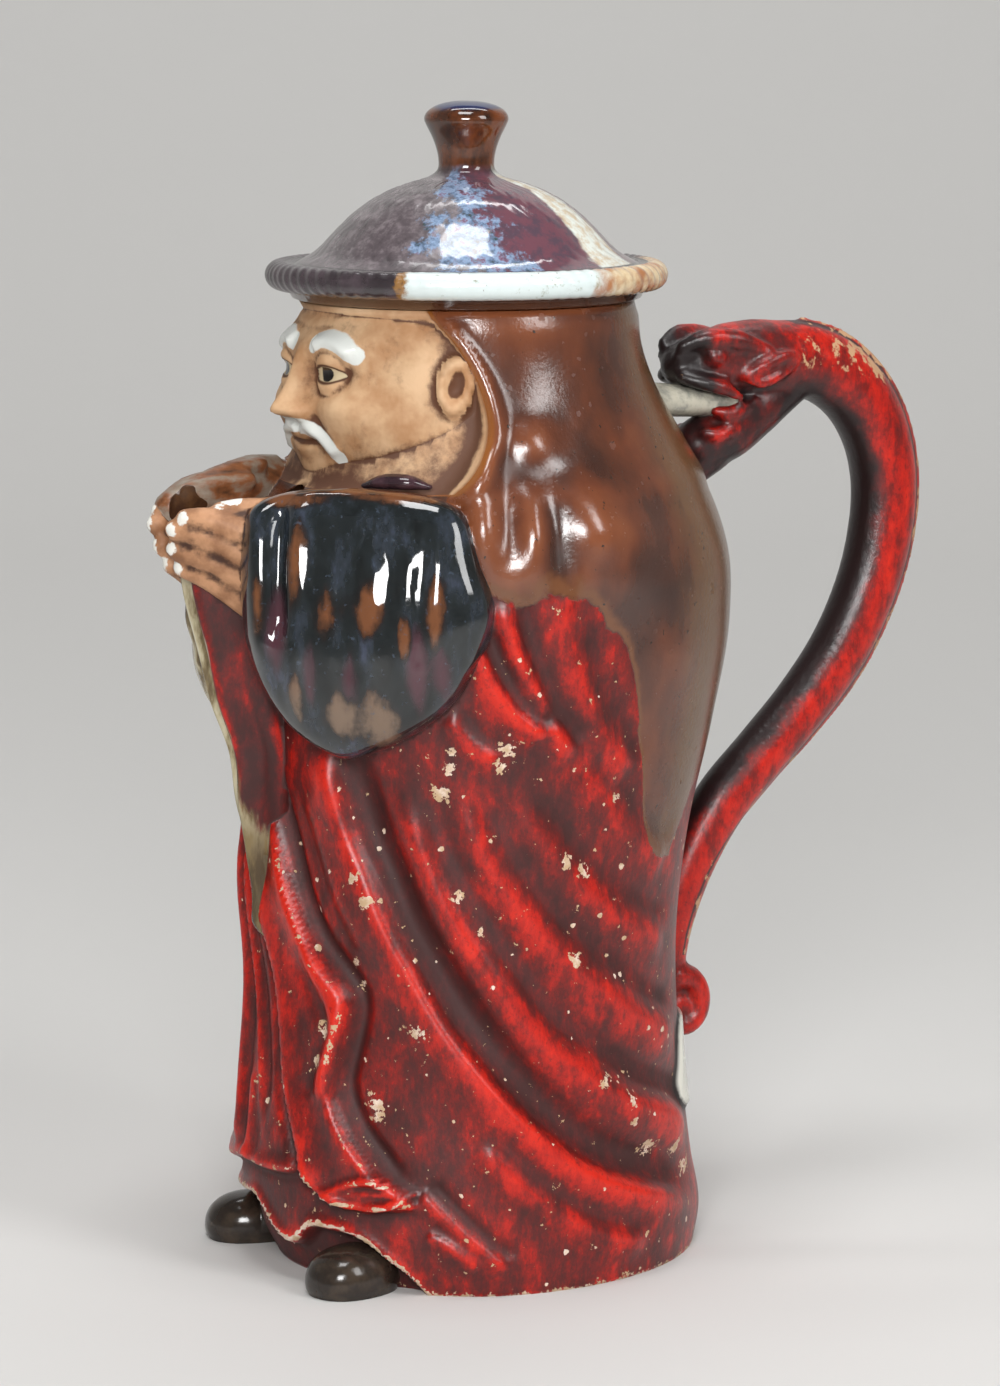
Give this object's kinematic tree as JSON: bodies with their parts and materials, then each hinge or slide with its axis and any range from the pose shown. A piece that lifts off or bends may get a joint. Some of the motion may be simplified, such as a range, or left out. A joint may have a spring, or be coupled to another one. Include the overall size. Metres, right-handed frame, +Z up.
{
  "type": "toby jug",
  "caption": "Stoneware ewer shaped as a robed old man, with cupped hands as the spout, a dragon handle and a lift-off hat lid.",
  "frame": {"origin": "centre of the body's axis on the surface that the jug stands on", "axes": "+Z up along the jug's axis, -Y the way the figure faces and pours, +Y the handle, +X the figure's left side"},
  "size_m": [0.123, 0.2105, 0.28],
  "materials": {
    "jug": "brown and blue-black gloss glazes over satin red slip, with bare tan stoneware on the face",
    "lid": "plum-grey and pale blue gloss glaze"
  },
  "bodies": {
    "root": {"jug": "jug", "lid": "lid"}
  },
  "joints": []
}
